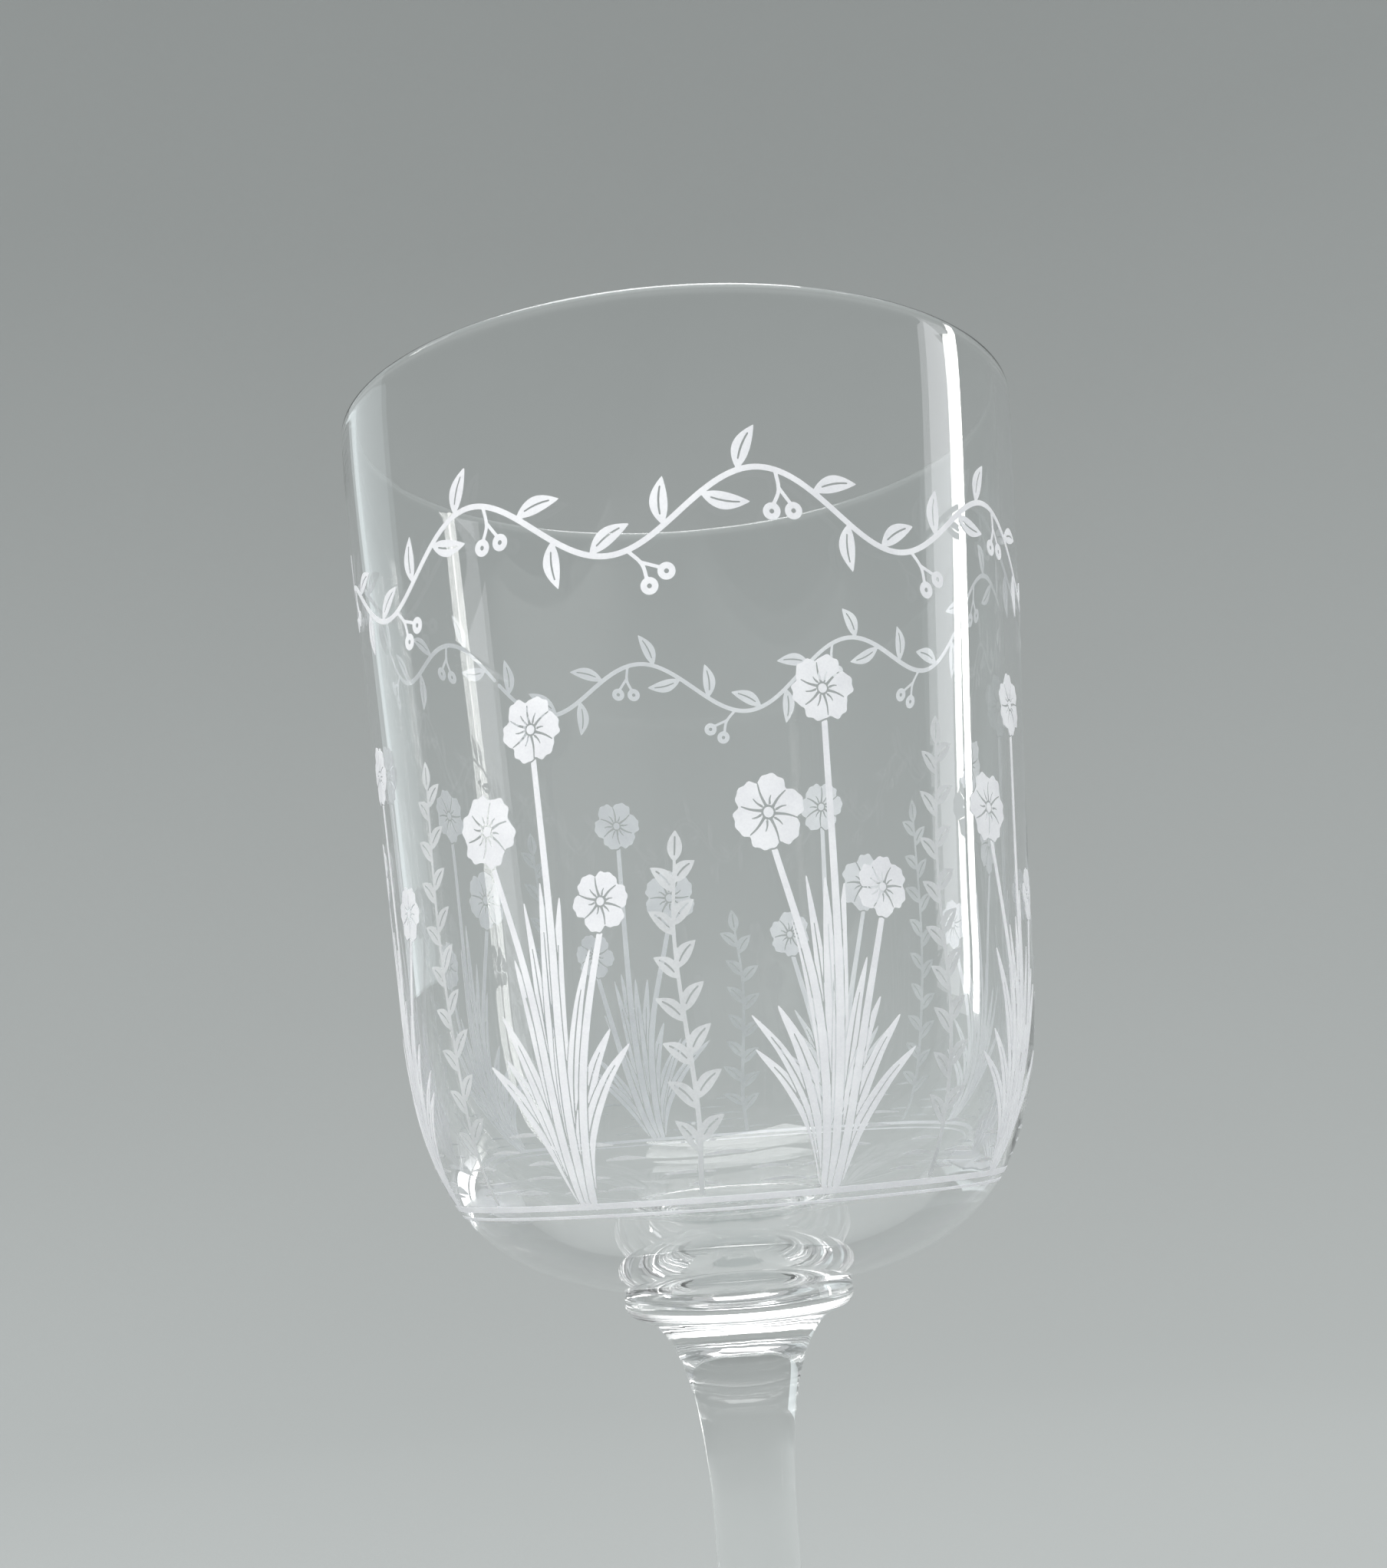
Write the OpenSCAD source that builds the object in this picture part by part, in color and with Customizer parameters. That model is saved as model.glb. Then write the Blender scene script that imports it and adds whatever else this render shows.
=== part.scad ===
// Stemmed drinking glass of clear crystal, made hot from four gathers of glass:
// a thin blown bowl, a small collar disc, a solid drawn stem and a round foot.
// The four pieces are fused end to end, each on a flat round seat.
// Millimetres. +Z is up along the axis of the glass.
// The origin is the centre of the ring that the foot rests on.

/* [Overall] */
// Height of the whole glass, from the table to the rim
total_h = 150; // [130:1:180]

/* [Bowl] */
// Outside diameter of the bowl at the rim
rim_d = 65; // [58:0.5:76]
// Height of the bowl, from its seat on the collar to the rim
bowl_h = 81.5; // [70:0.5:95]
// Outside diameter of the bowl where the sides start to turn in
waist_d = 58.5; // [50:0.5:64]
// How far the start of the turn lies below the rim, as a share of the bowl's height
turn_at = 0.66; // [0.55:0.01:0.72]
// Wall thickness at the rim, which is rounded over
rim_t = 1.5; // [1.1:0.1:2]
// Wall thickness where the sides start to turn in
wall_t = 1.8; // [1.3:0.1:2.6]
// Thickness of the bottom of the bowl at its centre
base_t = 3.2; // [2.2:0.1:5]

/* [Collar] */
// Largest diameter of the collar between the bowl and the stem
collar_d = 20.7; // [18:0.1:26]
// Thickness of the collar
collar_h = 2.7; // [2:0.1:4]

/* [Stem] */
// Diameter of the stem at its slimmest
stem_d = 7.4; // [6:0.1:10]
// Diameter of the stem where it meets the foot
stem_foot_d = 13; // [11:0.5:16]

/* [Foot] */
// Diameter of the foot
foot_d = 66; // [58:1:76]
// Height of the foot at the middle, where the stem is fused on
foot_h = 6.8; // [5.5:0.1:9]
// Thickness of the foot at its rounded edge
foot_t = 1.9; // [1.5:0.1:3]
// Height of the hollow under the middle of the foot
hollow_h = 1.5; // [0.8:0.1:2]

/* [Hidden] */
$fn = 144;

// levels
collar_z1 = total_h - bowl_h;
collar_z0 = collar_z1 - collar_h;

// point on a cubic curve, and a whole curve of n steps
function cub(a, b, c, d, t) =
    pow(1 - t, 3) * a + 3 * pow(1 - t, 2) * t * b + 3 * (1 - t) * t * t * c + t * t * t * d;
function curve(a, b, c, d, n, first = 0) = [for (i = [first : n]) cub(a, b, c, d, i / n)];
function back(p) = [for (i = [len(p) - 1 : -1 : 0]) p[i]];

// outside of the bowl, from the rim down to the seat
seat_r = collar_d / 2 - 0.25;
turn_z = total_h - bowl_h * turn_at;
lean = 0.045;
rim_z = total_h - rim_t / 2;
low = bowl_h * (1 - turn_at);
out_side = curve(
    [rim_d / 2, rim_z],
    [rim_d / 2, total_h - bowl_h * 0.107],
    [waist_d / 2 + lean * bowl_h * 0.162, turn_z + bowl_h * 0.162],
    [waist_d / 2, turn_z], 14);
out_turn = curve(
    [waist_d / 2, turn_z],
    [waist_d / 2 - lean * low * 0.67, turn_z - low * 0.67],
    [seat_r + (waist_d / 2 - seat_r) * 0.705, collar_z1 + low * 0.091],
    [seat_r, collar_z1], 22, 1);

// inside of the bowl, from the rim down to the centre
in_r = waist_d / 2 - wall_t;
in_z = collar_z1 + base_t;
in_low = turn_z - in_z;
in_side = curve(
    [rim_d / 2 - rim_t, rim_z],
    [rim_d / 2 - rim_t, total_h - bowl_h * 0.107],
    [in_r + lean * bowl_h * 0.162, turn_z + bowl_h * 0.162],
    [in_r, turn_z], 14);
in_turn = curve(
    [in_r, turn_z],
    [in_r - lean * in_low * 0.66, turn_z - in_low * 0.66],
    [in_r * 0.80, in_z],
    [0, in_z], 22, 1);

// rounded rim, from the outside over to the inside
lip = [for (a = [15 : 15 : 165])
    [rim_d / 2 - rim_t / 2 + rim_t / 2 * cos(a), rim_z + rim_t / 2 * sin(a)]];

module bowl() {
    color([0.86, 0.91, 0.90, 0.35])
    rotate_extrude()
        polygon(concat([[0, collar_z1]], back(out_turn), back(out_side), lip, in_side, in_turn));
}

// the collar is a squeezed disc with a full, rounded edge
mid_z = collar_z1 - collar_h * 0.46;
stem_top_r = collar_d * 0.4155;
edge_a = collar_d / 2 - stem_top_r;
module collar() {
    up = collar_z1 - mid_z;
    dn = mid_z - collar_z0;
    color([0.86, 0.91, 0.90, 0.35])
    rotate_extrude()
        polygon(concat(
            [[0, collar_z0], [stem_top_r, collar_z0]],
            [for (a = [-75 : 15 : 0]) [stem_top_r + edge_a * cos(a), mid_z + dn * sin(a)]],
            [for (i = [1 : 4]) let (s = i / 5)
                [stem_top_r + edge_a * cub(1, 1, 0.97, (seat_r - stem_top_r) / edge_a, s), mid_z + up * s]],
            [[seat_r, collar_z1], [0, collar_z1]]));
}

// the stem is one solid drawn piece, flared into the collar and into the foot
slim_z = collar_z0 - 17.8 * collar_d / 20.7;
slim_len = slim_z - foot_h;
module stem() {
    upper = curve(
        [stem_top_r, collar_z0],
        [stem_top_r - 3.65, collar_z0 - 1.8],
        [stem_d / 2, slim_z + 8.1],
        [stem_d / 2, slim_z], 16);
    lower = curve(
        [stem_d / 2, slim_z],
        [stem_d / 2, slim_z - slim_len * 0.36],
        [stem_foot_d / 2 - 2.4, foot_h + 5.4],
        [stem_foot_d / 2, foot_h], 20, 1);
    color([0.86, 0.91, 0.90, 0.35])
    rotate_extrude()
        polygon(concat([[0, collar_z0]], upper, lower, [[0, foot_h]]));
}

// the foot rests on a flat ring and is hollowed under the middle,
// with a small dish ground and polished at the centre
rest_r0 = foot_d * 0.41;
rest_r1 = foot_d / 2 - foot_t * 0.62;
dish_r = 5.5;
dish_h = 0.35;
module foot() {
    top = curve(
        [stem_foot_d / 2, foot_h],
        [stem_foot_d / 2 + 1.4, foot_h - 3.15],
        [foot_d * 0.29, foot_t + 0.95],
        [foot_d / 2 - foot_t * 0.55, foot_t], 22);
    under = curve(
        [rest_r0, 0],
        [rest_r0 * 0.72, hollow_h * 0.25],
        [rest_r0 * 0.5, hollow_h],
        [dish_r, hollow_h], 14);
    color([0.86, 0.91, 0.90, 0.35])
    rotate_extrude()
        polygon(concat(
            top,
            [for (a = [75 : -15 : -75]) let (s = a < 0 ? 0.62 : 0.55)
                [foot_d / 2 - foot_t * s + foot_t * s * cos(a), foot_t / 2 + foot_t / 2 * sin(a)]],
            [[rest_r1, 0]],
            under,
            [for (i = [1 : 5]) let (s = i / 5)
                [dish_r * (1 - s), hollow_h + dish_h * sqrt(1 - pow(1 - s, 2))]],
            [[0, foot_h]]));
}

bowl();
collar();
stem();
foot();
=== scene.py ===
import math

import bpy
import numpy as np
from mathutils import Matrix, Vector
from mathutils.geometry import delaunay_2d_cdt


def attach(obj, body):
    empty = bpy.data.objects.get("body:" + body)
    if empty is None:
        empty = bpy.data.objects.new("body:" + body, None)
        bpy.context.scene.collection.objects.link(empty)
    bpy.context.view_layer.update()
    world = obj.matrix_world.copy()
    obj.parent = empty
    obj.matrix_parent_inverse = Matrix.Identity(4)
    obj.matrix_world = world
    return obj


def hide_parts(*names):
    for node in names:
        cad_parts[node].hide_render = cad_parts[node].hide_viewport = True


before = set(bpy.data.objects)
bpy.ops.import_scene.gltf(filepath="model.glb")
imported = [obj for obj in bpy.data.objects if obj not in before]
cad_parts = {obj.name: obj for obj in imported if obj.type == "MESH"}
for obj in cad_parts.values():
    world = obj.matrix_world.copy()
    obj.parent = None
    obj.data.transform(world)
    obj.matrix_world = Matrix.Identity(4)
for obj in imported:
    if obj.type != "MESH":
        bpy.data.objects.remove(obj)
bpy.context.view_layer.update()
MM = 0.001

# ------------------------------------------------------------------ sizes, in millimetres, as in part.scad
TOTAL_H, RIM_D, BOWL_H, WAIST_D, TURN_AT = 150.0, 65.0, 81.5, 58.5, 0.66
RIM_T, WALL_T, BASE_T, COLLAR_D, COLLAR_H = 1.5, 1.8, 3.2, 20.7, 2.7
STEM_D, STEM_FOOT_D, FOOT_D, FOOT_H, FOOT_T, HOLLOW_H = 7.4, 13.0, 66.0, 6.8, 1.9, 1.5
LEAN = 0.045
COLLAR_Z1 = TOTAL_H - BOWL_H
COLLAR_Z0 = COLLAR_Z1 - COLLAR_H
SEAT_R = COLLAR_D / 2 - 0.25
TURN_Z = TOTAL_H - BOWL_H * TURN_AT
RIM_Z = TOTAL_H - RIM_T / 2
LOW = BOWL_H * (1 - TURN_AT)
IN_R = WAIST_D / 2 - WALL_T
IN_Z = COLLAR_Z1 + BASE_T
IN_LOW = TURN_Z - IN_Z
STEM_TOP_R = COLLAR_D * 0.4155
EDGE_A = COLLAR_D / 2 - STEM_TOP_R
MID_Z = COLLAR_Z1 - COLLAR_H * 0.46
SLIM_Z = COLLAR_Z0 - 17.8
SLIM_LEN = SLIM_Z - FOOT_H


def bez(p0, p1, p2, p3, n):
    """n + 1 points of a cubic curve, both ends included."""
    t = np.linspace(0, 1, n + 1)[:, None]
    p0, p1, p2, p3 = (np.array(p, float) for p in (p0, p1, p2, p3))
    return (1 - t) ** 3 * p0 + 3 * (1 - t) ** 2 * t * p1 + 3 * (1 - t) * t * t * p2 + t ** 3 * p3


def join(*runs):
    """Runs of points one after another, with the shared ends once."""
    out = [runs[0]]
    for r in runs[1:]:
        out.append(r[1:] if np.allclose(out[-1][-1], r[0], atol=1e-6) else r)
    return np.vstack(out)


outer_side = bez((RIM_D / 2, RIM_Z), (RIM_D / 2, TOTAL_H - BOWL_H * 0.107),
                 (WAIST_D / 2 + LEAN * BOWL_H * 0.162, TURN_Z + BOWL_H * 0.162), (WAIST_D / 2, TURN_Z), 56)
outer_turn = bez((WAIST_D / 2, TURN_Z), (WAIST_D / 2 - LEAN * LOW * 0.67, TURN_Z - LOW * 0.67),
                 (SEAT_R + (WAIST_D / 2 - SEAT_R) * 0.705, COLLAR_Z1 + LOW * 0.091), (SEAT_R, COLLAR_Z1), 64)
inner_side = bez((RIM_D / 2 - RIM_T, RIM_Z), (RIM_D / 2 - RIM_T, TOTAL_H - BOWL_H * 0.107),
                 (IN_R + LEAN * BOWL_H * 0.162, TURN_Z + BOWL_H * 0.162), (IN_R, TURN_Z), 56)
inner_turn = bez((IN_R, TURN_Z), (IN_R - LEAN * IN_LOW * 0.66, TURN_Z - IN_LOW * 0.66),
                 (IN_R * 0.80, IN_Z), (0, IN_Z), 64)
a = np.radians(np.linspace(0, 180, 21))
lip = np.column_stack([RIM_D / 2 - RIM_T / 2 + RIM_T / 2 * np.cos(a), RIM_Z + RIM_T / 2 * np.sin(a)])
bowl_outer = join(outer_side, outer_turn)          # from the rim down to the seat

dn = MID_Z - COLLAR_Z0
up = COLLAR_Z1 - MID_Z
a = np.radians(np.linspace(-75, 0, 16))
col_low = np.column_stack([STEM_TOP_R + EDGE_A * np.cos(a), MID_Z + dn * np.sin(a)])


def cub(b0, b1, b2, b3, t):
    return b0 * (1 - t) ** 3 + 3 * b1 * (1 - t) ** 2 * t + 3 * b2 * (1 - t) * t * t + b3 * t ** 3


s = np.linspace(0, 1, 15)[1:]
col_up = np.column_stack([STEM_TOP_R + EDGE_A * cub(1, 1, 0.97, (SEAT_R - STEM_TOP_R) / EDGE_A, s), MID_Z + up * s])
collar_side = np.vstack([[(STEM_TOP_R, COLLAR_Z0)], col_low, col_up])
stem_side = join(bez((STEM_TOP_R, COLLAR_Z0), (STEM_TOP_R - 3.65, COLLAR_Z0 - 1.8),
                     (STEM_D / 2, SLIM_Z + 8.1), (STEM_D / 2, SLIM_Z), 48),
                 bez((STEM_D / 2, SLIM_Z), (STEM_D / 2, SLIM_Z - SLIM_LEN * 0.36),
                     (STEM_FOOT_D / 2 - 2.4, FOOT_H + 5.4), (STEM_FOOT_D / 2, FOOT_H), 56))
foot_top = bez((STEM_FOOT_D / 2, FOOT_H), (STEM_FOOT_D / 2 + 1.4, FOOT_H - 3.15),
               (FOOT_D * 0.29, FOOT_T + 0.95), (FOOT_D / 2 - FOOT_T * 0.55, FOOT_T), 72)
a = np.radians(np.linspace(90, -90, 25))
k = np.where(a >= 0, 0.55, 0.62)
foot_edge = np.column_stack([FOOT_D / 2 - FOOT_T * k + FOOT_T * k * np.cos(a), FOOT_T / 2 + FOOT_T / 2 * np.sin(a)])
REST0 = FOOT_D * 0.41
foot_under = bez((REST0, 0), (REST0 * 0.72, HOLLOW_H * 0.25), (REST0 * 0.5, HOLLOW_H), (5.5, HOLLOW_H), 44)
a = np.radians(np.linspace(0, 90, 13))
dish = np.column_stack([5.5 * np.cos(a), HOLLOW_H + 0.35 * np.sin(a)])
foot_side = join(foot_top, foot_edge, np.array([(REST0, 0.0)]), foot_under, dish)


# ------------------------------------------------------------------ node helpers
def material(name):
    m = bpy.data.materials.new(name)
    m.use_nodes = True
    nt = m.node_tree
    nt.nodes.clear()
    out = nt.nodes.new("ShaderNodeOutputMaterial")
    return m, nt, out


def node(nt, kind, **sets):
    n = nt.nodes.new(kind)
    for k, v in sets.items():
        if k.startswith("in_"):
            n.inputs[k[3:].replace("_", " ")].default_value = v
        else:
            setattr(n, k, v)
    return n


def clear_face():
    """For the fused faces inside the glass, where nothing is seen."""
    m, nt, out = material("glass_fused_seat")
    t = node(nt, "ShaderNodeBsdfTransparent")
    nt.links.new(t.outputs[0], out.inputs["Surface"])
    return m


def glass(name, tint, ior, wave_scale, wave, smear, pass_tint):
    """Clear soda-lime glass: hand-worked waviness in its normals and a faint film in its gloss. Lamps reach what is behind it."""
    m, nt, out = material(name)
    L = nt.links.new
    co = node(nt, "ShaderNodeTexCoord")
    mp = node(nt, "ShaderNodeMapping")
    mp.inputs["Scale"].default_value = wave_scale
    L(co.outputs["Object"], mp.inputs["Vector"])
    big = node(nt, "ShaderNodeTexNoise", in_Scale=1.0, in_Detail=1.5, in_Roughness=0.4)
    L(mp.outputs[0], big.inputs["Vector"])
    bump = node(nt, "ShaderNodeBump")
    bump.inputs["Strength"].default_value = 1.0
    bump.inputs["Distance"].default_value = wave
    L(big.outputs["Fac"], bump.inputs["Height"])
    film = node(nt, "ShaderNodeTexNoise", in_Scale=70.0, in_Detail=4.0, in_Roughness=0.6)
    L(co.outputs["Object"], film.inputs["Vector"])
    ramp = node(nt, "ShaderNodeMapRange")
    ramp.inputs["From Min"].default_value = 0.45
    ramp.inputs["From Max"].default_value = 0.75
    ramp.inputs["To Min"].default_value = 0.0
    ramp.inputs["To Max"].default_value = smear
    L(film.outputs["Fac"], ramp.inputs["Value"])
    p = node(nt, "ShaderNodeBsdfPrincipled")
    p.inputs["Base Color"].default_value = (*tint, 1)
    p.inputs["Transmission Weight"].default_value = 1.0
    p.inputs["IOR"].default_value = ior
    L(ramp.outputs[0], p.inputs["Roughness"])
    L(bump.outputs[0], p.inputs["Normal"])
    edge = node(nt, "ShaderNodeLayerWeight", in_Blend=0.35)
    shade = node(nt, "ShaderNodeMix", data_type="RGBA")
    shade.inputs["A"].default_value = (*pass_tint, 1)
    shade.inputs["B"].default_value = (0.62, 0.64, 0.64, 1)
    L(edge.outputs["Facing"], shade.inputs["Factor"])
    t = node(nt, "ShaderNodeBsdfTransparent")
    L(shade.outputs["Result"], t.inputs["Color"])
    lp = node(nt, "ShaderNodeLightPath")
    either = node(nt, "ShaderNodeMath", operation="MAXIMUM")
    L(lp.outputs["Is Shadow Ray"], either.inputs[0])
    L(lp.outputs["Is Diffuse Ray"], either.inputs[1])
    mix = node(nt, "ShaderNodeMixShader")
    L(either.outputs[0], mix.inputs[0])
    L(p.outputs[0], mix.inputs[1])
    L(t.outputs[0], mix.inputs[2])
    L(mix.outputs[0], out.inputs["Surface"])
    return m


seat_mat = clear_face()
bowl_mat = glass("bowl_clear_glass", (0.985, 0.992, 0.992), 1.5, (55, 55, 22), 0.00012, 0.012, (0.987, 0.99, 0.99))
collar_mat = glass("collar_clear_glass", (0.985, 0.992, 0.99), 1.5, (90, 90, 160), 0.00010, 0.012, (0.93, 0.94, 0.94))
stem_mat = glass("stem_clear_glass", (0.985, 0.992, 0.99), 1.5, (520, 520, 26), 0.00006, 0.012, (0.92, 0.93, 0.93))
foot_mat = glass("foot_clear_glass", (0.985, 0.992, 0.99), 1.5, (45, 45, 45), 0.00010, 0.012, (0.94, 0.95, 0.95))


# ------------------------------------------------------------------ turned glass
def lathe(name, profile, seats, mat, segs):
    """A closed turned body from a profile of (radius, height) in millimetres. seats names the ends of the profile closed by a flat
    fused face: 'first' or 'last'. A profile end on the axis closes in a point."""
    prof = [tuple(p) for p in profile]
    verts, rows = [], []
    ang = np.linspace(0, 2 * math.pi, segs, endpoint=False)
    for r, z in prof:
        if r < 1e-9:
            rows.append([len(verts)])
            verts.append((0, 0, z * MM))
        else:
            rows.append(list(range(len(verts), len(verts) + segs)))
            verts += [(r * MM * math.sin(t), -r * MM * math.cos(t), z * MM) for t in ang]
    faces, mats, sharp = [], [], set()
    for i in range(len(rows) - 1):
        A, B = rows[i], rows[i + 1]
        for j in range(segs):
            k = (j + 1) % segs
            if len(A) == 1:
                faces.append((A[0], B[j], B[k]))
            elif len(B) == 1:
                faces.append((A[j], B[0], A[k]))
            else:
                faces.append((A[j], B[j], B[k], A[k]))
            mats.append(0)
    for end in seats:
        row, z = (rows[0], prof[0][1]) if end == "first" else (rows[-1], prof[-1][1])
        c = len(verts)
        verts.append((0, 0, z * MM))
        for j in range(segs):
            k = (j + 1) % segs
            faces.append((c, row[j], row[k]) if end == "first" else (c, row[k], row[j]))
            mats.append(1)
            sharp.add((min(row[j], row[k]), max(row[j], row[k])))
    me = bpy.data.meshes.new(name)
    me.from_pydata(verts, [], faces)
    me.update()
    me.materials.append(mat)
    me.materials.append(seat_mat)
    me.polygons.foreach_set("material_index", mats)
    me.polygons.foreach_set("use_smooth", [True] * len(faces))
    for e in me.edges:
        if tuple(sorted(e.vertices)) in sharp:
            e.use_edge_sharp = True
    ob = bpy.data.objects.new(name, me)
    bpy.context.scene.collection.objects.link(ob)
    import bmesh
    bm = bmesh.new()
    bm.from_mesh(me)
    bmesh.ops.recalc_face_normals(bm, faces=bm.faces)
    bm.to_mesh(me)
    bm.free()
    return ob


bowl = lathe("bowl_glass", join(bowl_outer[::-1], lip, inner_side, inner_turn), ["first"], bowl_mat, 320)
collar = lathe("collar_glass", collar_side, ["first", "last"], collar_mat, 192)
stem = lathe("stem_glass", stem_side, ["first", "last"], stem_mat, 128)
foot = lathe("foot_glass", foot_side, ["first"], foot_mat, 256)
for ob, name, sl in ((bowl, "bowl", "bowl_glass"), (collar, "collar", "stem_glass"), (stem, "stem", "stem_glass"),
                     (foot, "foot", "stem_glass")):
    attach(ob, "root")
    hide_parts(name)

# ------------------------------------------------------------------ etched decoration
# A generic ornament, set out by rule: eight equal bays of grass, flowers and a leafy sprig, under a waving leafy vine.
# Each part is drawn as a signed distance field over the unrolled bowl (angle in degrees, 0 towards the viewer, and height in
# millimetres), then cut out as a thin closed skin of frosted glass that lies on the outer wall.
KU, SEAM, CELL = 0.541, -135.0, 0.08
ZB, ZT = 75.6, 143.4
NX, NZ = int(round(360 * KU / CELL)) + 1, int(round((ZT - ZB) / CELL)) + 1
rng = np.random.default_rng(7)


def U(theta):
    return (theta - SEAM) * KU


class Field:
    def __init__(self):
        self.f = np.full((NZ, NX), 4.0, np.float32)

    def window(self, lo, hi, pad):
        i0, i1 = int((lo[1] - pad - ZB) / CELL), int((hi[1] + pad - ZB) / CELL) + 2
        j0, j1 = int((lo[0] - pad) / CELL), int((hi[0] + pad) / CELL) + 2
        i0, j0, i1, j1 = max(i0, 0), max(j0, 0), min(i1, NZ), min(j1, NX)
        if i1 <= i0 or j1 <= j0:
            return None
        x = np.arange(j0, j1, dtype=np.float32)[None, :] * CELL
        y = ZB + np.arange(i0, i1, dtype=np.float32)[:, None] * CELL
        return (slice(i0, i1), slice(j0, j1)), x, y

    def put(self, key, d, how):
        g = self.f[key]
        self.f[key] = np.minimum(g, d) if how == "add" else np.maximum(g, -d)

    def chain(self, p, how, grow=0.0):
        """p: rows of u, z, half width."""
        for a, b in zip(p[:-1], p[1:]):
            r = max(a[2], b[2]) + grow
            if r <= 0:
                continue
            w = self.window(np.minimum(a, b)[:2] - r, np.maximum(a, b)[:2] + r, 0.25)
            if w is None:
                continue
            key, x, y = w
            dx, dy = b[0] - a[0], b[1] - a[1]
            L2 = dx * dx + dy * dy + 1e-12
            t = np.clip(((x - a[0]) * dx + (y - a[1]) * dy) / L2, 0, 1)
            d = np.sqrt((x - a[0] - t * dx) ** 2 + (y - a[1] - t * dy) ** 2) - (a[2] + grow + t * (b[2] - a[2]))
            self.put(key, d, how)

    def area(self, q, how, grow=0.0):
        """q: closed loop of u, z."""
        w = self.window(q.min(0) - abs(grow), q.max(0) + abs(grow), 0.3)
        if w is None:
            return
        key, x, y = w
        best = np.full((y.shape[0], x.shape[1]), 1e9, np.float32)
        odd = np.zeros(best.shape, bool)
        for a, b in zip(q, np.roll(q, -1, axis=0)):
            dx, dy = b[0] - a[0], b[1] - a[1]
            t = np.clip(((x - a[0]) * dx + (y - a[1]) * dy) / (dx * dx + dy * dy + 1e-12), 0, 1)
            best = np.minimum(best, (x - a[0] - t * dx) ** 2 + (y - a[1] - t * dy) ** 2)
            if a[1] != b[1]:
                odd ^= ((y < a[1]) != (y < b[1])) & (x < a[0] + (y - a[1]) * dx / dy)
        d = np.sqrt(best)
        self.put(key, np.where(odd, -d, d) - grow, how)


def smooth_path(p, n=8, closed=False):
    """Points on a smooth curve through p (centripetal enough for these gentle shapes)."""
    p = np.array(p, float)
    if len(p) < 3 and not closed:
        t = np.linspace(0, 1, n + 1)[:, None]
        return p[0] * (1 - t) + p[-1] * t
    if closed:
        q = np.vstack([p[-1], p, p[0], p[1]])
    else:
        q = np.vstack([2 * p[0] - p[1], p, 2 * p[-1] - p[-2]])
    t = np.linspace(0, 1, n, endpoint=False)[:, None]
    out = []
    for i in range(1, len(q) - 2):
        a, b, c, d = q[i - 1], q[i], q[i + 1], q[i + 2]
        out.append(0.5 * (2 * b + (c - a) * t + (2 * a - 5 * b + 4 * c - d) * t ** 2 + (3 * b - a - 3 * c + d) * t ** 3))
    out = np.vstack(out)
    return out if closed else np.vstack([out, q[-2]])


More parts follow.
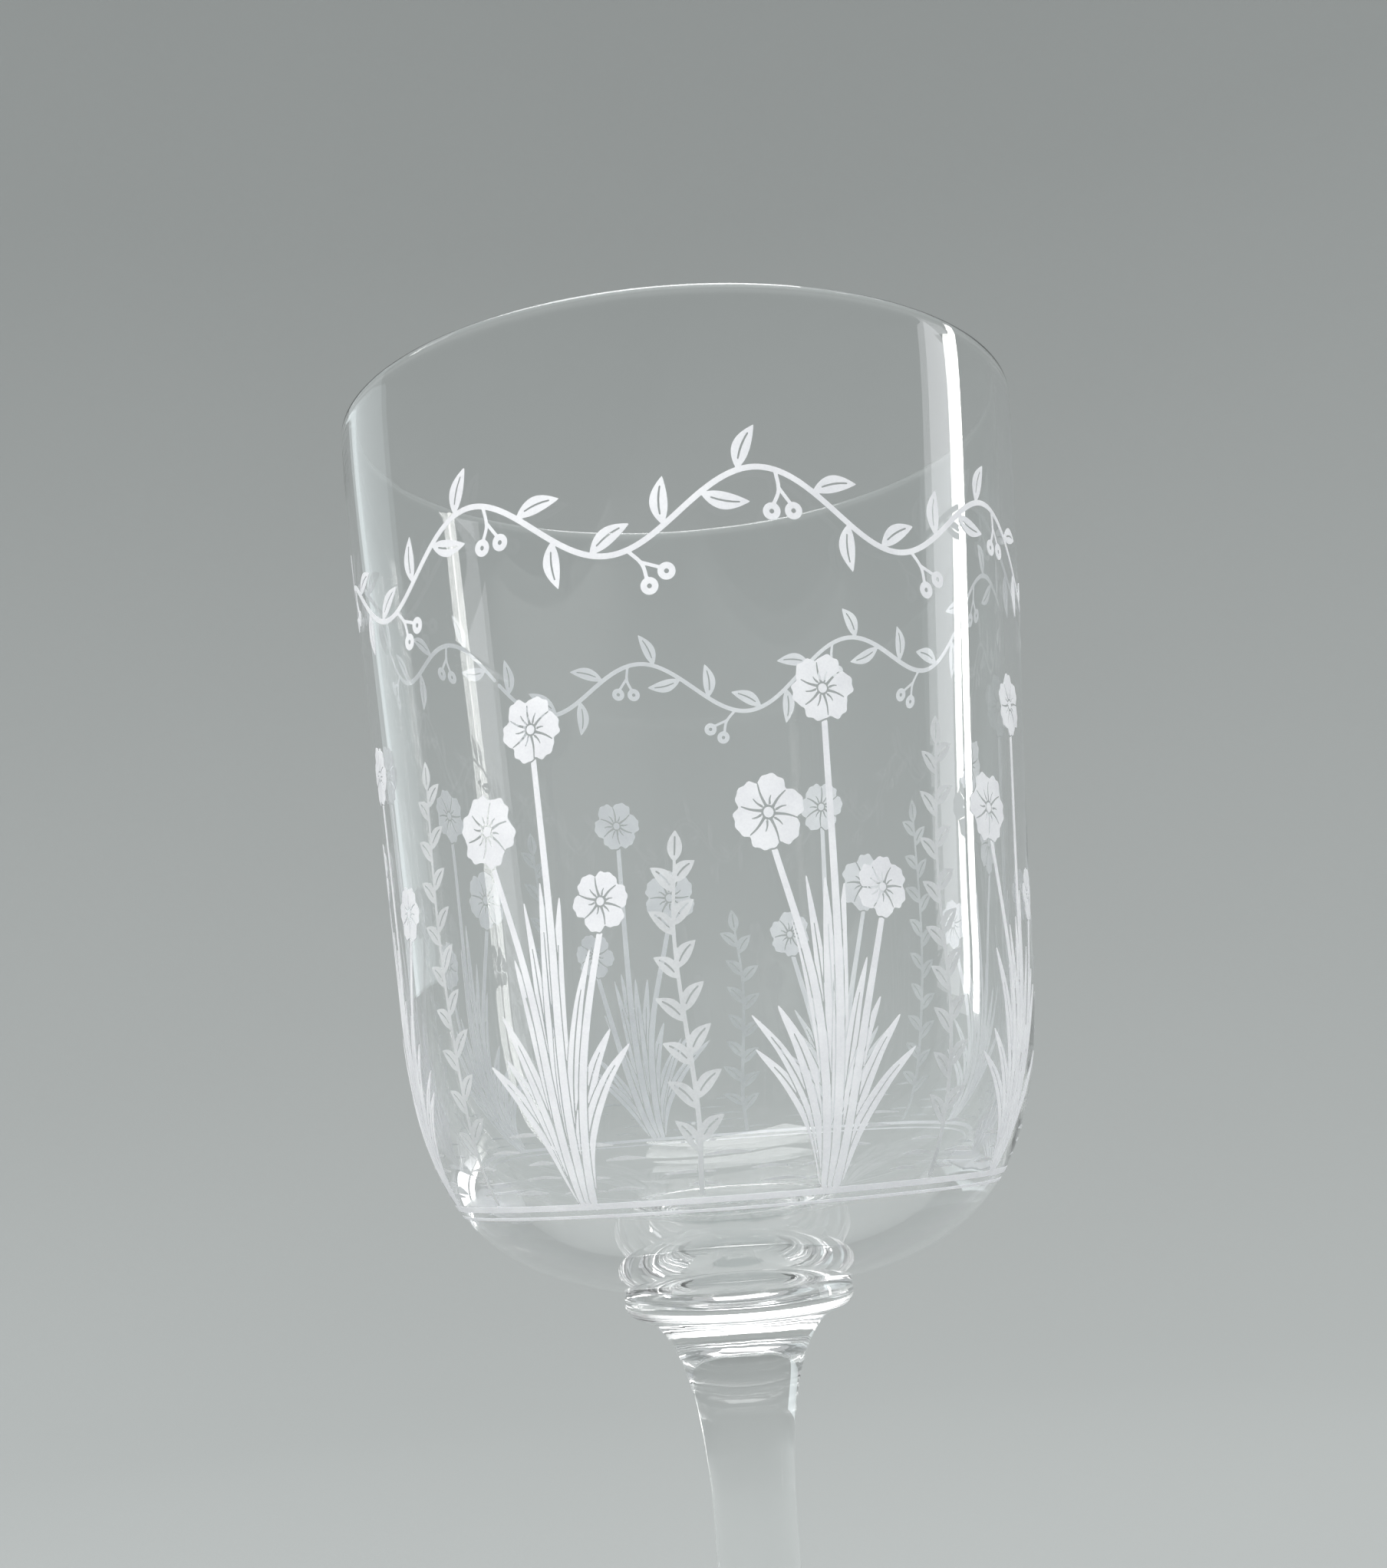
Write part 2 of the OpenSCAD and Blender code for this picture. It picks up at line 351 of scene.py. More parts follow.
class Pen:
    """Draws on one field. Points are (angle, height); sizes are millimetres."""

    def __init__(self):
        self.F = Field()
        self.o, self.rot, self.k, self.flip = None, 0.0, 1.0, 1.0
        self.bold = 1.0

    def P(self, p):
        p = np.array(p, float)
        q = p.copy()
        if self.o is None:
            q[:, 0] = U(p[:, 0])
        else:                                  # local millimetres about a place, turned and scaled
            c, s = math.cos(self.rot), math.sin(self.rot)
            x, y = p[:, 0] * self.k * self.flip, p[:, 1] * self.k
            q[:, 0] = U(self.o[0]) + c * x - s * y
            q[:, 1] = self.o[1] + s * x + c * y
        return q

    def at(self, theta, z, rot=0.0, k=1.0, flip=1.0):
        self.o, self.rot, self.k, self.flip = (theta, z), math.radians(rot), k, flip
        return self

    def home(self):
        self.o = None
        return self

    def line(self, pts, w, how="add", n=8, halo=0.0, ends=(1, 1), mid=None):
        """A drawn line. w: one width, or one per point. ends scale the width at each end; mid gives the widest in the middle."""
        p = self.P([q[:2] for q in pts])
        if np.isscalar(w):
            m = len(pts)
            ws = np.full(m, w, float)
            if mid is not None:
                t = np.linspace(0, 1, m)
                ws = w * mid + (w - w * mid) * np.sin(math.pi * t) ** 0.8
            ws[0] *= ends[0]
            ws[-1] *= ends[1]
        else:
            ws = np.array(w, float)
        q = smooth_path(np.column_stack([p, ws / 2]), n)
        if how == "add":
            q[:, 2] *= self.bold
        q[:, 2] = np.maximum(q[:, 2], 0.035)
        if halo:
            self.F.chain(q, "cut", halo)
        self.F.chain(q, how)

    def blade(self, pts, w, vein=0.0, halo=0.0, base=0.5, tip=0.08, peak=0.35, how="add"):
        """A grass blade from its base to a fine tip. vein cuts a clear line down it."""
        p = smooth_path(self.P(pts), 9)
        d = np.r_[0, np.cumsum(np.hypot(*np.diff(p, axis=0).T))]
        t = d / d[-1]
        prof = np.where(t < peak, base + (1 - base) * np.sin(t / peak * math.pi / 2),
                        tip + (1 - tip) * np.maximum(np.cos((t - peak) / (1 - peak) * math.pi / 2), 0) ** 0.75)
        q = np.column_stack([p, np.maximum(w / 2 * prof, 0.05)])
        if halo:
            self.F.chain(q, "cut", halo)
        self.F.chain(q, how)
        if vein:
            m = (t > 0.08) & (t < 0.86)
            v = np.column_stack([p, vein / 2 * np.sin(np.clip(t, 0, 1) * math.pi) ** 0.5])[m]
            if len(v) > 2:
                self.F.chain(v, "cut")

    def shape(self, pts, how="add", n=6, halo=0.0, sharp=False):
        p = self.P(pts)
        q = p if sharp else smooth_path(p, n, closed=True)
        if halo:
            self.F.area(q, "cut", halo)
        self.F.area(q, how)

    def leaf(self, a, b, w, bend=0.0, vein=0.16, halo=0.0, twist=0.0, how="add", fat=0.45):
        """A pointed leaf from a to b, with a clear line inside it."""
        p = self.P([a, b])
        v = p[1] - p[0]
        L = np.hypot(*v)
        e, nrm = v / L, np.array([-v[1], v[0]]) / L
        t = np.linspace(0, 1, 15)
        half = w / 2 * (0.5 + 0.5 * self.bold) * np.maximum(np.sin(math.pi * t ** (math.log(0.5) / math.log(fat))), 0) ** 0.9
        mid = p[0] + np.outer(t * L, e) + np.outer(bend * np.sin(math.pi * t), nrm)
        q = np.vstack([mid + half[:, None] * nrm, (mid - half[:, None] * nrm)[::-1][1:-1]])
        if halo:
            self.F.area(q, "cut", halo)
        self.F.area(q, how)
        if vein:
            m = (t > 0.16) & (t < 0.82)
            off = nrm * w * twist
            self.F.chain(np.column_stack([mid[m] + off, vein / 2 * np.maximum(np.sin(math.pi * t[m]), 0) ** 0.4]), "cut")

    def dot(self, theta, z, r, how="add", halo=0.0):
        c = self.P([(theta, z)])[0]
        a = np.array([c[0], c[1], r])
        if halo:
            self.F.chain(np.array([a, a + [1e-4, 0, 0]]), "cut", halo)
        self.F.chain(np.array([a, a + [1e-4, 0, 0]]), how)

    def berry(self, theta, z, r, turn=40, halo=0.12, ring=True):
        """A round berry with a clear crescent in it."""
        self.dot(theta, z, r, halo=halo)
        if ring:
            c = self.P([(theta, z)])[0]
            ang = np.radians(np.linspace(turn, turn + 230, 12))
            rr = r * 0.55
            p = np.column_stack([c[0] + rr * np.cos(ang), c[1] + rr * np.sin(ang), np.full(12, r * 0.085 + 0.02)])
            self.F.chain(p, "cut")

    def flower(self, theta, z, r, petals=6, turn=0.0, squash=1.0, halo=0.14, seed=0, veins=True, lobe=0.16):
        """An open flower from the front: soft lobed petals, clear radial lines and a small ring."""
        g = np.random.default_rng(seed)
        cu, cz = U(theta), z
        ang = np.radians(np.arange(0, 360, 4.0))
        ph = math.radians(turn)
        rad = r * (1 - lobe * (0.5 + 0.5 * np.cos(petals * (ang - ph))) ** 3.0
                   + 0.028 * np.cos(3 * petals * ang + 1.3 + seed) + 0.02 * np.cos(5 * ang + seed))
        q = np.column_stack([cu + rad * np.cos(ang) * squash, cz + rad * np.sin(ang)])
        if halo:
            self.F.area(q, "cut", halo)
        self.F.area(q, "add")
        if veins:
            for i in range(petals):
                t = ph + i * 2 * math.pi / petals           # clear lines between the petals
                l1 = r * (0.72 + 0.12 * g.random())
                self._ray(cu, cz, t + 0.05 * (g.random() - 0.5), r * 0.2, l1, 0.17 * r / 3.2 + 0.09, squash)
                t2 = t + math.pi / petals                    # a shorter line down each petal
                self._ray(cu, cz, t2, r * 0.24, r * (0.44 + 0.12 * g.random()), 0.14 * r / 3.2 + 0.07, squash)
            ring = np.radians(np.linspace(0, 360, 17))
            p = np.column_stack([cu + 0.17 * r * np.cos(ring) * squash, cz + 0.17 * r * np.sin(ring), np.full(17, 0.02 * r + 0.02)])
            self.F.chain(p, "cut")

    def _ray(self, cu, cz, t, r0, r1, w, squash=1.0):
        n = 6
        rr = np.linspace(r0, r1, n)
        bow = 0.10 * np.sin(np.linspace(0, math.pi, n)) * r1 * 0.4
        x = cu + (rr * math.cos(t) - bow * math.sin(t)) * squash
        y = cz + rr * math.sin(t) + bow * math.cos(t)
        ww = w / 2 * np.linspace(1.0, 0.45, n)
        self.F.chain(np.column_stack([x, y, ww]), "cut")

    def sprig(self, path, leaves, L, w, angle=48, vein=0.13, stem=0.35, top=True, shrink=0.35, start=0.12, halo=0.0, seed=3):
        """A stalk with pairs of pointed leaves and one at its end."""
        p = smooth_path(self.P(path), 10)
        d = np.r_[0, np.cumsum(np.hypot(*np.diff(p, axis=0).T))]
        t = d / d[-1]
        self.F.chain(np.column_stack([p, stem / 2 * (1 - 0.5 * t)]), "add")
        g = np.random.default_rng(seed)
        keep = self.o
        for i in range(leaves):
            f = start + (1 - start) * (i + 0.3) / leaves
            for side in (1, -1):
                ff = min(0.985, f + (0.03 if side < 0 else 0))
                x = np.array([np.interp(ff, t, p[:, 0]), np.interp(ff, t, p[:, 1])])
                x2 = np.array([np.interp(min(1, ff + 0.04), t, p[:, 0]), np.interp(min(1, ff + 0.04), t, p[:, 1])])
                x1 = np.array([np.interp(ff - 0.04, t, p[:, 0]), np.interp(ff - 0.04, t, p[:, 1])])
                e = (x2 - x1) / np.hypot(*(x2 - x1))
                al = math.radians(side * (angle + 8 * (g.random() - 0.5)))
                dr = np.array([e[0] * math.cos(al) - e[1] * math.sin(al), e[0] * math.sin(al) + e[1] * math.cos(al)])
                ln = L * (1 - shrink * f) * (0.93 + 0.14 * g.random())
                self._leaf_uv(x, x + dr * ln, w, bend=-side * 0.09 * ln, vein=vein, halo=halo)
        if top:
            e = (p[-1] - p[-4]) / np.hypot(*(p[-1] - p[-4]))
            self._leaf_uv(p[-1], p[-1] + e * L * (1 - shrink), w, vein=vein, halo=halo)
        self.o = keep

    def _leaf_uv(self, a, b, w, bend=0.0, vein=0.13, halo=0.0):
        P = self.P
        self.P = lambda q: np.array(q, float)
        self.leaf(a, b, w, bend=bend, vein=vein, halo=halo)
        self.P = P


BAYS = 8
PITCH = 360.0 / BAYS


def draw_grass():
    """A tuft of blades and three open flowers in each bay, and the ground line round the bowl."""
    p = Pen()
    g = np.random.default_rng(11)
    for i in range(BAYS):
        c = SEAM + PITCH * i + 0.4 * PITCH
        for k in range(11):
            s = (k - 5) / 5.0
            h = (25 - 13 * abs(s)) * (0.8 + 0.35 * g.random())
            lean = 15 * s * (0.8 + 0.3 * g.random())
            p.blade(((c + 1.2 * s, 77.0), (c + 0.28 * lean, 77.0 + 0.42 * h), (c + 0.62 * lean, 77.0 + 0.76 * h), (c + lean, 77.0 + h)),
                    1.05 + 0.5 * g.random(), vein=0.15, halo=0.1, base=0.5, peak=0.45)
        for k, (dx, top, r) in enumerate(((-8.6, 107.0, 3.0), (1.6, 116.0, 2.7), (9.8, 101.0, 2.4))):
            dx, top = dx + 1.6 * (g.random() - 0.5), top + 3.0 * (g.random() - 0.5)
            p.line([(c + 0.12 * dx, 77.5), (c + 0.42 * dx + 0.9, 77.5 + 0.5 * (top - 77.5)), (c + dx, top - 0.6 * r)], [0.8, 0.68, 0.5], halo=0.12)
            p.flower(c + dx, top, r, 6, turn=60 * g.random(), seed=10 * i + k)
    for z, w in ((76.95, 0.46), (76.15, 0.22)):
        u = np.linspace(SEAM, SEAM + 360, 361)
        p.F.chain(np.column_stack([U(u), np.full(361, z), np.full(361, w / 2)]), "add")
    return p.F.f


def draw_sprigs():
    """A leafy sprig between one tuft and the next, tall and short in turn."""
    p = Pen()
    for i in range(BAYS):
        c, top = SEAM + PITCH * i + 0.885 * PITCH, 112.0 if i % 2 else 103.0
        m = 77.6 + (top - 77.6) * 0.5
        p.sprig([(c, 77.6), (c + 0.8, m - 6), (c - 0.7, m + 6), (c + 0.2, top)], 9 if i % 2 else 7, 3.3, 1.25, angle=46, vein=0.16,
                stem=0.5, shrink=0.25, start=0.08, seed=30 + i)
    return p.F.f


def draw_ripples():
    """Short level dashes above the ground line, fewer as they rise."""
    p = Pen()
    g = np.random.default_rng(23)
    for row in range(5):
        n = 30 - 5 * row
        for k in range(n):
            a = SEAM + 4 + 352.0 * (k + 0.2 + 0.5 * g.random()) / n
            b = min(a + 4.5 + 4.5 * g.random(), SEAM + 359)
            z = 78.1 + 1.15 * row + 0.25 * (g.random() - 0.5)
            p.line([(a, z), ((a + b) / 2, z + 0.1), (b, z)], [0.1, 0.2 + 0.16 * g.random(), 0.1], n=4)
    return p.F.f


def draw_vine():
    """A waving stem round the upper bowl, with a leaf to each side in turn and a pair of small berries in each wave."""
    p = Pen()

    def height(t):
        return 131.0 + 3.2 * np.sin(np.radians(BAYS * (t - SEAM)))

    u = np.linspace(SEAM + 0.6, SEAM + 359.4, 721)
    p.F.chain(np.column_stack([U(u), height(u), np.full(721, 0.24)]), "add")
    n = BAYS * 8
    for j in range(n):
        t = SEAM + 360.0 * (j + 0.5) / n
        side = 1 if j % 2 else -1
        rise = math.degrees(math.atan(3.2 * BAYS * math.pi / 180 / KU * math.cos(math.radians(BAYS * (t - SEAM)))))
        p.at(t, float(height(t)), rise)
        if j % 8 in (2, 6):
            p.line([(0, 0), (0.7, 1.5 * side), (0.6, 2.9 * side)], 0.3, n=4)
            p.line([(0.6, 1.3 * side), (1.9, 2.3 * side)], 0.28, n=4)
            c = p.P([(0.6, 3.4 * side), (2.3, 2.8 * side)])
            for q in c:
                p.F.chain(np.array([[q[0], q[1], 0.72], [q[0] + 1e-4, q[1], 0.72]]), "add")
                p.F.chain(np.array([[q[0], q[1], 0.2], [q[0] + 1e-4, q[1], 0.2]]), "cut")
        else:
            p.leaf((0, 0.1 * side), (2.6, 3.1 * side), 1.45, bend=0.3 * side, vein=0.17)
    p.home()
    return p.F.f


# ---- fields to meshes
def loops_of(f):
    """Closed contour loops of a field at zero, inside on the left, as rows of u, z."""
    f = f.copy()
    f[0, :] = f[-1, :] = f[:, 0] = f[:, -1] = 0.5
    f[np.abs(f) < 1e-4] = 1e-4
    s = f < 0
    code = s[:-1, :-1] * 1 + s[:-1, 1:] * 2 + s[1:, 1:] * 4 + s[1:, :-1] * 8
    ii, jj = np.nonzero((code > 0) & (code < 15))
    # cell edges: 0 bottom, 1 right, 2 top, 3 left
    table = {1: [(0, 3)], 2: [(1, 0)], 3: [(1, 3)], 4: [(2, 1)], 6: [(2, 0)], 7: [(2, 3)], 8: [(3, 2)], 9: [(0, 2)], 11: [(1, 2)],
             12: [(3, 1)], 13: [(0, 1)], 14: [(3, 0)], 5: [(0, 3), (2, 1)], 10: [(1, 0), (3, 2)]}
    nH = NX * NZ
    nxt = {}

    def eid(i, j, e):
        return (i * NX + j, nH + i * NX + j + 1, (i + 1) * NX + j, nH + i * NX + j)[e]

    for i, j, c in zip(ii.tolist(), jj.tolist(), code[ii, jj].tolist()):
        for a, b in table[c]:
            nxt[eid(i, j, a)] = eid(i, j, b)

    def place(e):
        e = np.array(e)
        hor = e < nH
        k = np.where(hor, e, e - nH)
        i, j = k // NX, k % NX
        i2, j2 = np.where(hor, i, i + 1), np.where(hor, j + 1, j)
        a, b = f[i, j], f[i2, j2]
        t = a / (a - b)
        return np.column_stack([(j + t * (j2 - j)) * CELL, ZB + (i + t * (i2 - i)) * CELL])

    out = []
    while nxt:
        start = next(iter(nxt))
        ring, e = [start], nxt.pop(start)
        while e != start and e in nxt:
            ring.append(e)
            e = nxt.pop(e)
        if len(ring) >= 6:
            out.append(place(ring))
    return out


def thin(p, tol):
    """Drops the points of a closed loop that lie within tol of the line through those kept, and splits long runs."""
    n = len(p)
    k = int(np.argmax(((p - p[0]) ** 2).sum(1)))
    keep = np.zeros(n + 1, bool)
    q = np.vstack([p, p[0]])
    keep[[0, k, n]] = True
    todo = [(0, k), (k, n)]
    while todo:
        a, b = todo.pop()
        if b - a < 2:
            continue
        v = q[b] - q[a]
        L = math.hypot(*v)
        w = q[a + 1:b] - q[a]
        d = np.abs(w[:, 0] * v[1] - w[:, 1] * v[0]) / L if L > 1e-9 else np.hypot(w[:, 0], w[:, 1])
        m = int(np.argmax(d))
        if d[m] > tol or L > 1.1:
            m = m if d[m] > tol else (b - a) // 2 - 1
            m = max(0, min(m, b - a - 2))
            keep[a + 1 + m] = True
            todo += [(a, a + 1 + m), (a + 1 + m, b)]
    return q[:-1][keep[:-1]]


pr = bowl_outer[::-1]
prz, prr = pr[:, 1], pr[:, 0]
tan = np.gradient(pr, axis=0)
tan /= np.hypot(tan[:, 0], tan[:, 1])[:, None]
pnr, pnz = tan[:, 1], -tan[:, 0]


def on_bowl(uz, off):
    th = np.radians(uz[:, 0] / KU + SEAM)
    z = uz[:, 1]
    nr, nz = np.interp(z, prz, pnr), np.interp(z, prz, pnz)
    r = np.interp(z, prz, prr) + off * nr
    return np.column_stack([r * np.sin(th), -r * np.cos(th), z + off * nz]) * MM


def etch(name, f, mat, lo=0.016, hi=0.05, tol=0.008):
    rings = [thin(r, tol) for r in loops_of(f)]
    rings = [r for r in rings if len(r) >= 4]
    areas = [0.5 * np.sum(r[:, 0] * np.roll(r[:, 1], -1) - np.roll(r[:, 0], -1) * r[:, 1]) for r in rings]
    rings = [r if s > 0 else r[::-1] for r, s in zip(rings, areas) if abs(s) > 0.012]
    pts = np.vstack(rings)
    faces, n = [], 0
    for r in rings:
        faces.append(list(range(n, n + len(r))))
        n += len(r)
    g = 0.9                                   # inner points, so that the skin follows the bowl
    gu, gz = np.meshgrid(np.arange(g / 2, 360 * KU, g), np.arange(ZB + g / 2, ZT, g * 0.9))
    gu[::2] += g / 2
    gu, gz = gu.ravel(), gz.ravel()
    j, i = np.clip((gu / CELL).astype(int), 0, NX - 1), np.clip(((gz - ZB) / CELL).astype(int), 0, NZ - 1)
    ok = f[i, j] < -0.3
    pts = np.vstack([pts, np.column_stack([gu[ok], gz[ok]])])
    vo, _, fo, vid, _, fid = delaunay_2d_cdt([Vector(q) for q in pts.tolist()], [], faces, 0, 1e-5, True)
    tri = np.array([t for t, o in zip(fo, fid) if len(o) % 2 == 1 and len(t) == 3])
    v = np.array([tuple(q) for q in vo])
    used = np.unique(tri)
    back = np.full(len(v), -1)
    back[used] = np.arange(len(used))
    v, tri = v[used], back[tri]
    ar = (v[tri[:, 1], 0] - v[tri[:, 0], 0]) * (v[tri[:, 2], 1] - v[tri[:, 0], 1]) - (v[tri[:, 2], 0] - v[tri[:, 0], 0]) * (v[tri[:, 1], 1] - v[tri[:, 0], 1])
    tri[ar < 0] = tri[ar < 0][:, ::-1]
    n = len(v)
    e = np.vstack([tri[:, [0, 1]], tri[:, [1, 2]], tri[:, [2, 0]]])
    key = e.min(1) * n + e.max(1)
    _, first, count = np.unique(key, return_index=True, return_counts=True)
    rim = e[first[count == 1]]
    top, bot = on_bowl(v, hi), on_bowl(v, lo)
    allv = np.vstack([top, bot])
    quads = np.column_stack([rim[:, 1], rim[:, 0], rim[:, 0] + n, rim[:, 1] + n])
    fl = tri.tolist() + (tri[:, ::-1] + n).tolist() + quads.tolist()
    me = bpy.data.meshes.new(name)
    me.from_pydata(allv.tolist(), [], fl)
    me.update()
    me.polygons.foreach_set("use_smooth", [True] * (2 * len(tri)) + [False] * len(quads))
    ev = np.zeros(len(me.edges) * 2, np.int64)
    me.edges.foreach_get("vertices", ev)
    ev = np.sort(ev.reshape(-1, 2), axis=1)
    lip_keys = np.concatenate([np.sort(rim, axis=1) @ np.array([4 * n, 1]), np.sort(rim + n, axis=1) @ np.array([4 * n, 1])])
    crisp = np.isin(ev @ np.array([4 * n, 1]), lip_keys)
    at = me.attributes.get("sharp_edge") or me.attributes.new("sharp_edge", "BOOLEAN", "EDGE")
    at.data.foreach_set("value", crisp)
    me.materials.append(mat)
    ob = bpy.data.objects.new(name, me)
    bpy.context.scene.collection.objects.link(ob)
    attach(ob, "root")
    return ob


def frost(name, light, dark, clear, through):
    """Etched glass: a matt, faintly mottled white skin that passes some light, with a fine bitten grain."""
    m, nt, out = material(name)
    L = nt.links.new
    co = node(nt, "ShaderNodeTexCoord")
    fine = node(nt, "ShaderNodeTexNoise", in_Scale=5200.0, in_Detail=3.0, in_Roughness=0.65)
    soft = node(nt, "ShaderNodeTexNoise", in_Scale=260.0, in_Detail=3.0, in_Roughness=0.55)
    L(co.outputs["Object"], fine.inputs["Vector"])
    L(co.outputs["Object"], soft.inputs["Vector"])
    mixf = node(nt, "ShaderNodeMath", operation="MULTIPLY_ADD")
    mixf.inputs[1].default_value = 0.45
    L(fine.outputs["Fac"], mixf.inputs[0])
    half = node(nt, "ShaderNodeMath", operation="MULTIPLY")
    half.inputs[1].default_value = 0.6
    L(soft.outputs["Fac"], half.inputs[0])
    L(half.outputs[0], mixf.inputs[2])
    ramp = node(nt, "ShaderNodeValToRGB")
    ramp.color_ramp.elements[0].position = 0.36
    ramp.color_ramp.elements[0].color = (*dark, 1)
    ramp.color_ramp.elements[1].position = 0.66
    ramp.color_ramp.elements[1].color = (*light, 1)
    L(mixf.outputs[0], ramp.inputs["Fac"])
    bump = node(nt, "ShaderNodeBump")
    bump.inputs["Strength"].default_value = 0.5
    bump.inputs["Distance"].default_value = 0.00003
    L(fine.outputs["Fac"], bump.inputs["Height"])
    p = node(nt, "ShaderNodeBsdfPrincipled")
    rr = node(nt, "ShaderNodeMapRange")
    rr.inputs["To Min"].default_value = 0.5
    rr.inputs["To Max"].default_value = 0.8
    L(soft.outputs["Fac"], rr.inputs["Value"])
    L(rr.outputs[0], p.inputs["Roughness"])
    L(ramp.outputs["Color"], p.inputs["Base Color"])
    L(bump.outputs[0], p.inputs["Normal"])
    tr = node(nt, "ShaderNodeBsdfTranslucent")
    L(ramp.outputs["Color"], tr.inputs["Color"])
    m1 = node(nt, "ShaderNodeMixShader")
    m1.inputs[0].default_value = through
    L(p.outputs[0], m1.inputs[1])
    L(tr.outputs[0], m1.inputs[2])
    cl = node(nt, "ShaderNodeBsdfTransparent")
    m2 = node(nt, "ShaderNodeMixShader")
    m2.inputs[0].default_value = clear
    L(m1.outputs[0], m2.inputs[1])
    L(cl.outputs[0], m2.inputs[2])
    L(m2.outputs[0], out.inputs["Surface"])
    return m


frost_white = frost("etched_frost_white", (0.96, 0.96, 0.975), (0.86, 0.86, 0.885), 0.04, 0.3)
# A greyer copy of the frost. Its darker colour is partly painted shade, standing in for etching that lies in shade. The
# rest is a lighter etch that lets more glass show through.
frost_painted_shade_grey = frost("etched_frost_painted_shade_grey", (0.80, 0.81, 0.82), (0.68, 0.69, 0.70), 0.16, 0.3)

grass, sprigs, ripples, vine = draw_grass(), draw_sprigs(), draw_ripples(), draw_vine()


def under(f, *over, gap=0.02):
    for g in over:
        f = np.maximum(f, -(g - gap))
    return f


etch("etch_grass_and_flowers", grass, frost_white)
# The sprigs and ripples take the grey frost, whose darker tone is partly painted shade.
etch("etch_leafy_sprigs", under(sprigs, grass, gap=0.12), frost_painted_shade_grey)
etch("etch_ripples", under(ripples, grass, sprigs, gap=0.12), frost_painted_shade_grey)
etch("etch_vine", vine, frost_white)


# ------------------------------------------------------------------ floor and backdrop, lights, camera
def stage_mat(name, base, glow):
    """Matt studio paper, a little lit from behind like a light tent so that its tone stays even."""
    m, nt, out = material(name)
    L = nt.links.new
    co = node(nt, "ShaderNodeTexCoord")
    n1 = node(nt, "ShaderNodeTexNoise", in_Scale=2.0, in_Detail=3.0)
    n2 = node(nt, "ShaderNodeTexNoise", in_Scale=900.0, in_Detail=2.0)
    L(co.outputs["Object"], n1.inputs["Vector"])
    L(co.outputs["Object"], n2.inputs["Vector"])
    mx = node(nt, "ShaderNodeMix", data_type="RGBA")
    mx.inputs["A"].default_value = (*[c * 0.96 for c in base], 1)
    mx.inputs["B"].default_value = (*[min(1, c * 1.04) for c in base], 1)
    L(n1.outputs["Fac"], mx.inputs["Factor"])
    bump = node(nt, "ShaderNodeBump", in_Strength=0.25, in_Distance=0.0002)
    L(n2.outputs["Fac"], bump.inputs["Height"])
    p = node(nt, "ShaderNodeBsdfPrincipled")
    p.inputs["Roughness"].default_value = 0.9
    p.inputs["Specular IOR Level"].default_value = 0.1
    p.inputs["Emission Color"].default_value = (*glow, 1)
    p.inputs["Emission Strength"].default_value = 1.0
    L(mx.outputs["Result"], p.inputs["Base Color"])
    L(bump.outputs[0], p.inputs["Normal"])
    L(p.outputs[0], out.inputs["Surface"])
    return m


def cove():
    """A round studio sweep: flat floor, then one smooth curve up into the wall."""
    R, C, H, segs = 1.35, 0.95, 1.9, 128
    prof = [(r, 0.0) for r in (0.08, 0.16, 0.26, R - C)]
    prof += [(R - C + C * math.sin(t), C - C * math.cos(t)) for t in np.linspace(0, math.pi / 2, 25)[1:]]
    prof += [(R, H)]
    verts, faces = [(0, 0, 0)], []
    for r, z in prof:
        verts += [(r * math.cos(t), r * math.sin(t), z) for t in np.linspace(0, 2 * math.pi, segs, endpoint=False)]
    for j in range(segs):
        faces.append((0, 1 + j, 1 + (j + 1) % segs))
    for i in range(len(prof) - 1):
        a0, b0 = 1 + i * segs, 1 + (i + 1) * segs
        for j in range(segs):
            k = (j + 1) % segs
            faces.append((a0 + j, b0 + j, b0 + k, a0 + k))
    me = bpy.data.meshes.new("studio_sweep")
    me.from_pydata(verts, [], faces)
    me.polygons.foreach_set("use_smooth", [True] * len(faces))
    me.materials.append(stage_mat("studio_paper", (0.33, 0.344, 0.341), (0.098, 0.103, 0.102)))
    ob = bpy.data.objects.new("studio_sweep", me)
    bpy.context.scene.collection.objects.link(ob)
    return ob


cove()


def area(name, at, look, size, power, colour=(1, 1, 1), shine=True, roll=0.0):
    """A soft lamp. shine False keeps it out of the glass's reflections, so that it only lights the etching and the paper."""
    d = bpy.data.lights.new(name, "AREA")
    d.shape = "RECTANGLE"
    d.size, d.size_y = size
    d.energy = power
    d.color = colour
    ob = bpy.data.objects.new(name, d)
    ob.location = at
    q = (Vector(at) - Vector(look)).to_track_quat("Z", "Y")
    ob.rotation_euler = (q.to_matrix() @ Matrix.Rotation(math.radians(roll), 3, "Z")).to_euler()
    bpy.context.scene.collection.objects.link(ob)
    ob.visible_camera = False
    ob.visible_glossy = shine
    ob.visible_transmission = shine
    return ob


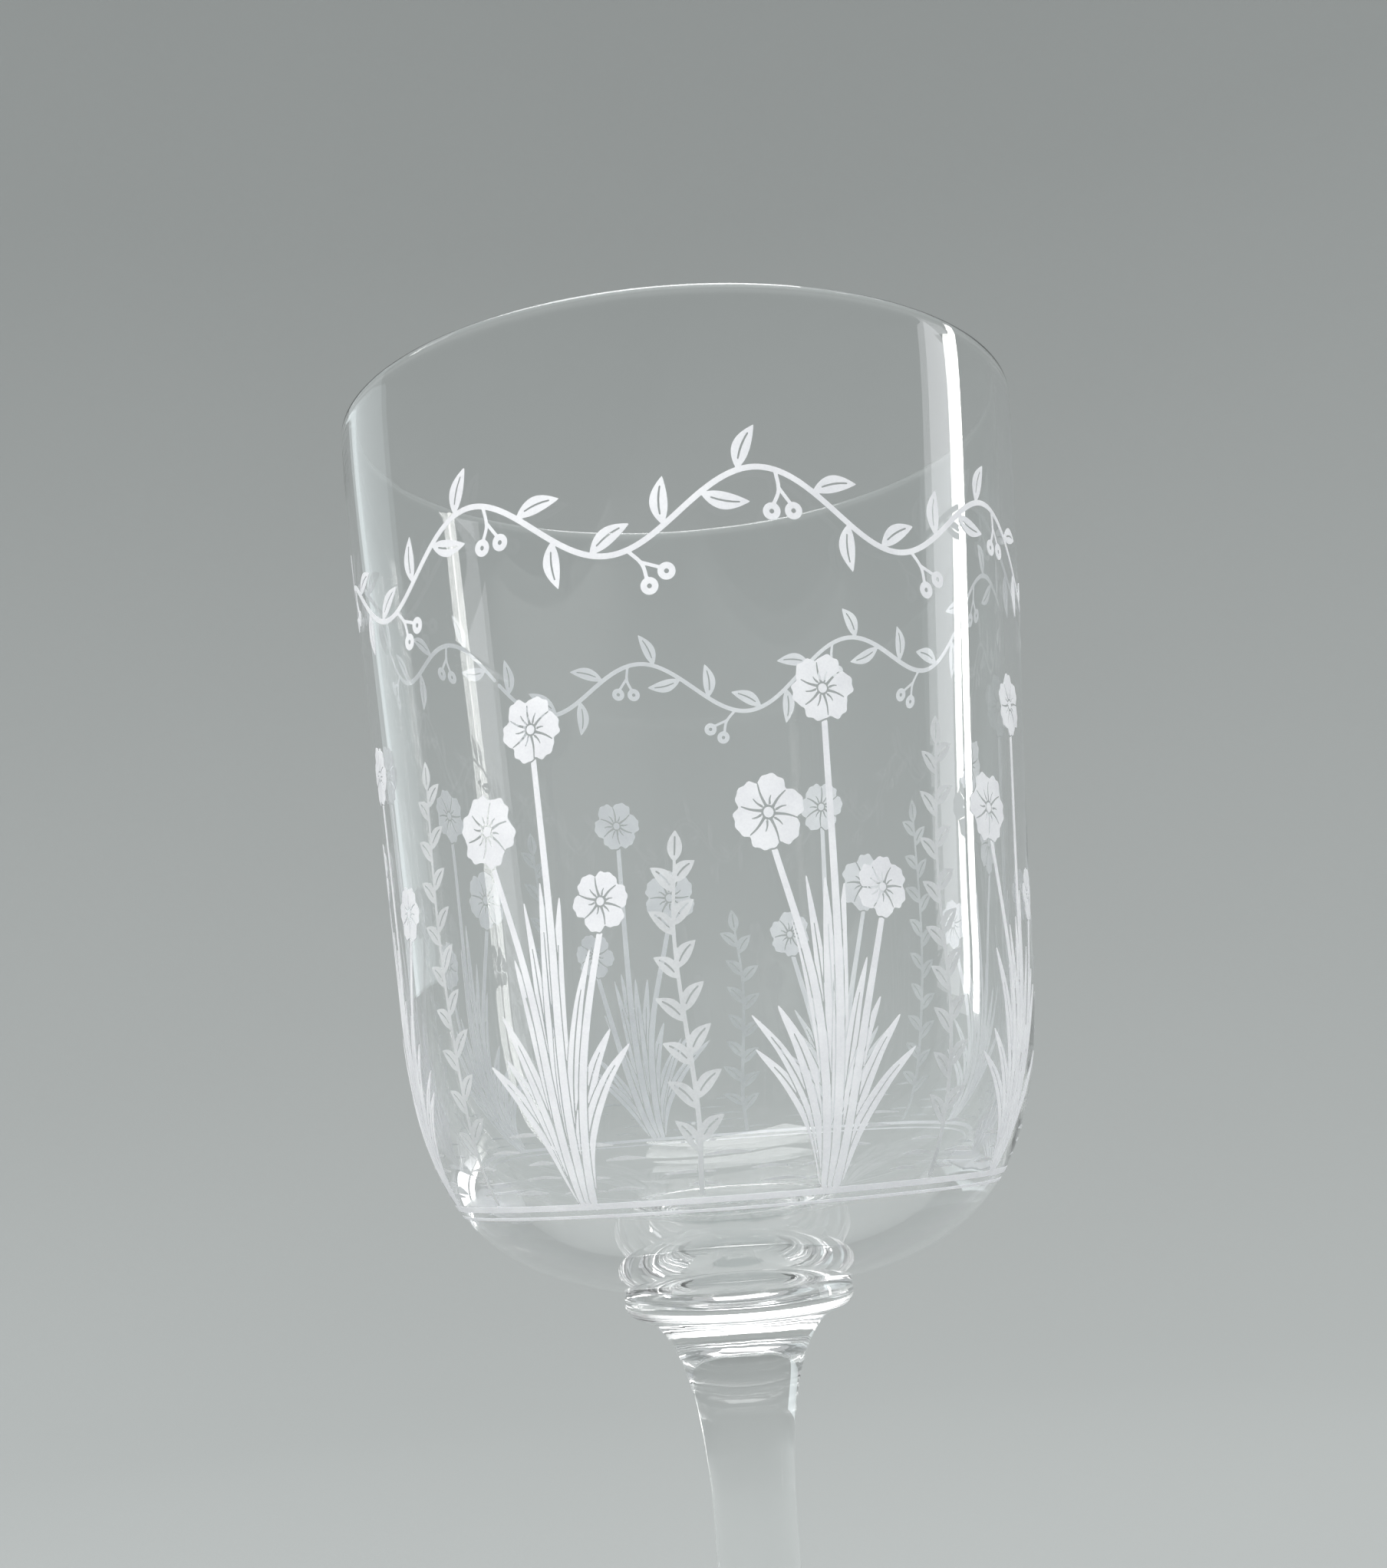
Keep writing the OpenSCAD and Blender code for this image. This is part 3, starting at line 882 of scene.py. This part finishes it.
T = (0, 0, 0.10)
area("key_left", (-0.62, -0.66, 0.62), T, (0.8, 0.8), 9.0, (1.0, 0.99, 0.985), shine=False)
area("front_fill", (0.45, -0.85, 0.45), T, (0.9, 0.7), 5.5, (0.98, 0.99, 1.0), shine=False)
area("overhead", (-0.05, 0.14, 1.05), T, (0.75, 0.45), 5.2)
area("bar_right", (0.60, 0.135, 0.235), (0.02, -0.02, 0.12), (0.04, 0.42), 0.75, (1.0, 0.985, 0.96), roll=-7)
area("veil_right", (0.60, 0.035, 0.20), (0.02, -0.02, 0.10), (0.13, 0.36), 0.26, (0.97, 0.97, 1.0), roll=-10)
area("veil_left", (-0.52, 0.36, 0.36), (0, 0, 0.12), (0.34, 0.5), 0.24, (0.88, 0.97, 1.0))

world = bpy.data.worlds.new("studio_air")
bpy.context.scene.world = world
world.use_nodes = True
bg = world.node_tree.nodes["Background"]
bg.inputs["Color"].default_value = (0.97, 0.99, 1.0, 1)
bg.inputs["Strength"].default_value = 0.5

cam_data = bpy.data.cameras.new("photo_camera")
cam_data.sensor_width = 36.0
cam_data.lens = 2359.0 / 2044.0 * 36.0
cam_data.clip_start = 0.005
cam_data.clip_end = 20
cam = bpy.data.objects.new("photo_camera", cam_data)
bpy.context.scene.collection.objects.link(cam)
pitch, yaw, roll = math.radians(10.58), math.radians(-0.26), math.radians(4.16)
Rx = np.array([[1, 0, 0], [0, math.cos(pitch), -math.sin(pitch)], [0, math.sin(pitch), math.cos(pitch)]])
Ry = np.array([[math.cos(yaw), 0, -math.sin(yaw)], [0, 1, 0], [math.sin(yaw), 0, math.cos(yaw)]])
Rz = np.array([[math.cos(roll), -math.sin(roll), 0], [math.sin(roll), math.cos(roll), 0], [0, 0, 1]])
R = Rz @ Rx @ Ry @ np.array([[1, 0, 0], [0, 0, 1], [0, 1, 0]])
right, upv, fwd = R
m = Matrix.Identity(4)
for i in range(3):
    m[i][0], m[i][1], m[i][2] = right[i], upv[i], -fwd[i]
m[0][3], m[1][3], m[2][3] = 0.0, -0.1694, 0.0829
cam.matrix_world = m
sc = bpy.context.scene
sc.camera = cam
sc.view_settings.view_transform = "Standard"
sc.view_settings.look = "None"
sc.cycles.max_bounces = 32
sc.cycles.transmission_bounces = 32
sc.cycles.glossy_bounces = 32
sc.cycles.transparent_max_bounces = 32
sc.cycles.sample_clamp_indirect = 8.0
